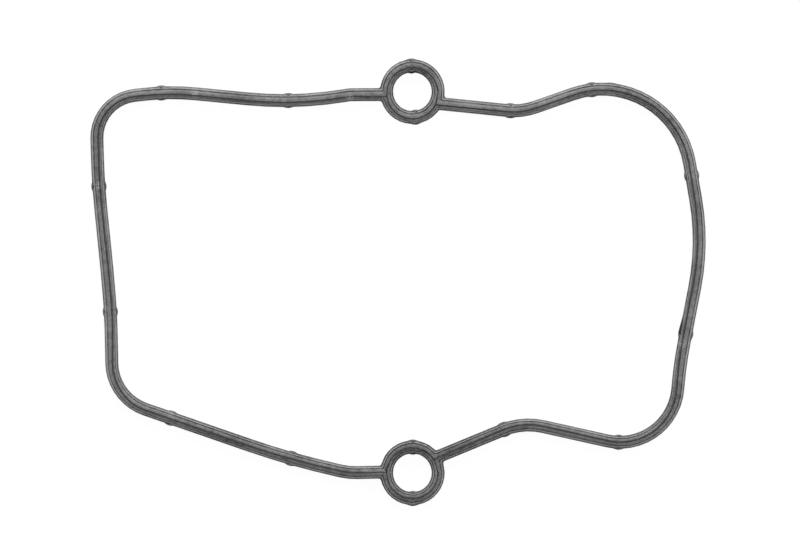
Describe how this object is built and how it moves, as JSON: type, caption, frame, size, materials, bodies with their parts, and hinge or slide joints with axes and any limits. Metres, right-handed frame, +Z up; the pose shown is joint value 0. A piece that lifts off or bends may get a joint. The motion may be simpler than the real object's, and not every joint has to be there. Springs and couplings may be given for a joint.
{
  "type": "valve cover gasket",
  "caption": "Moulded rubber gasket for one cylinder's valve cover: a closed, wavy loop of profile strip with two bolt rings and small side nubs.",
  "frame": {"origin": "middle of the gasket's outline, on the flat that its foot lies on", "axes": "+X along the long side, from the corner with the tighter bends to the wavy end; +Y along the line through both bolt rings; +Z up, out of the two sealing lips"},
  "size_m": [0.2215, 0.1612, 0.0046],
  "materials": {
    "rubber": "matte moulded"
  },
  "bodies": {
    "root": {"gasket": "rubber"}
  },
  "joints": []
}
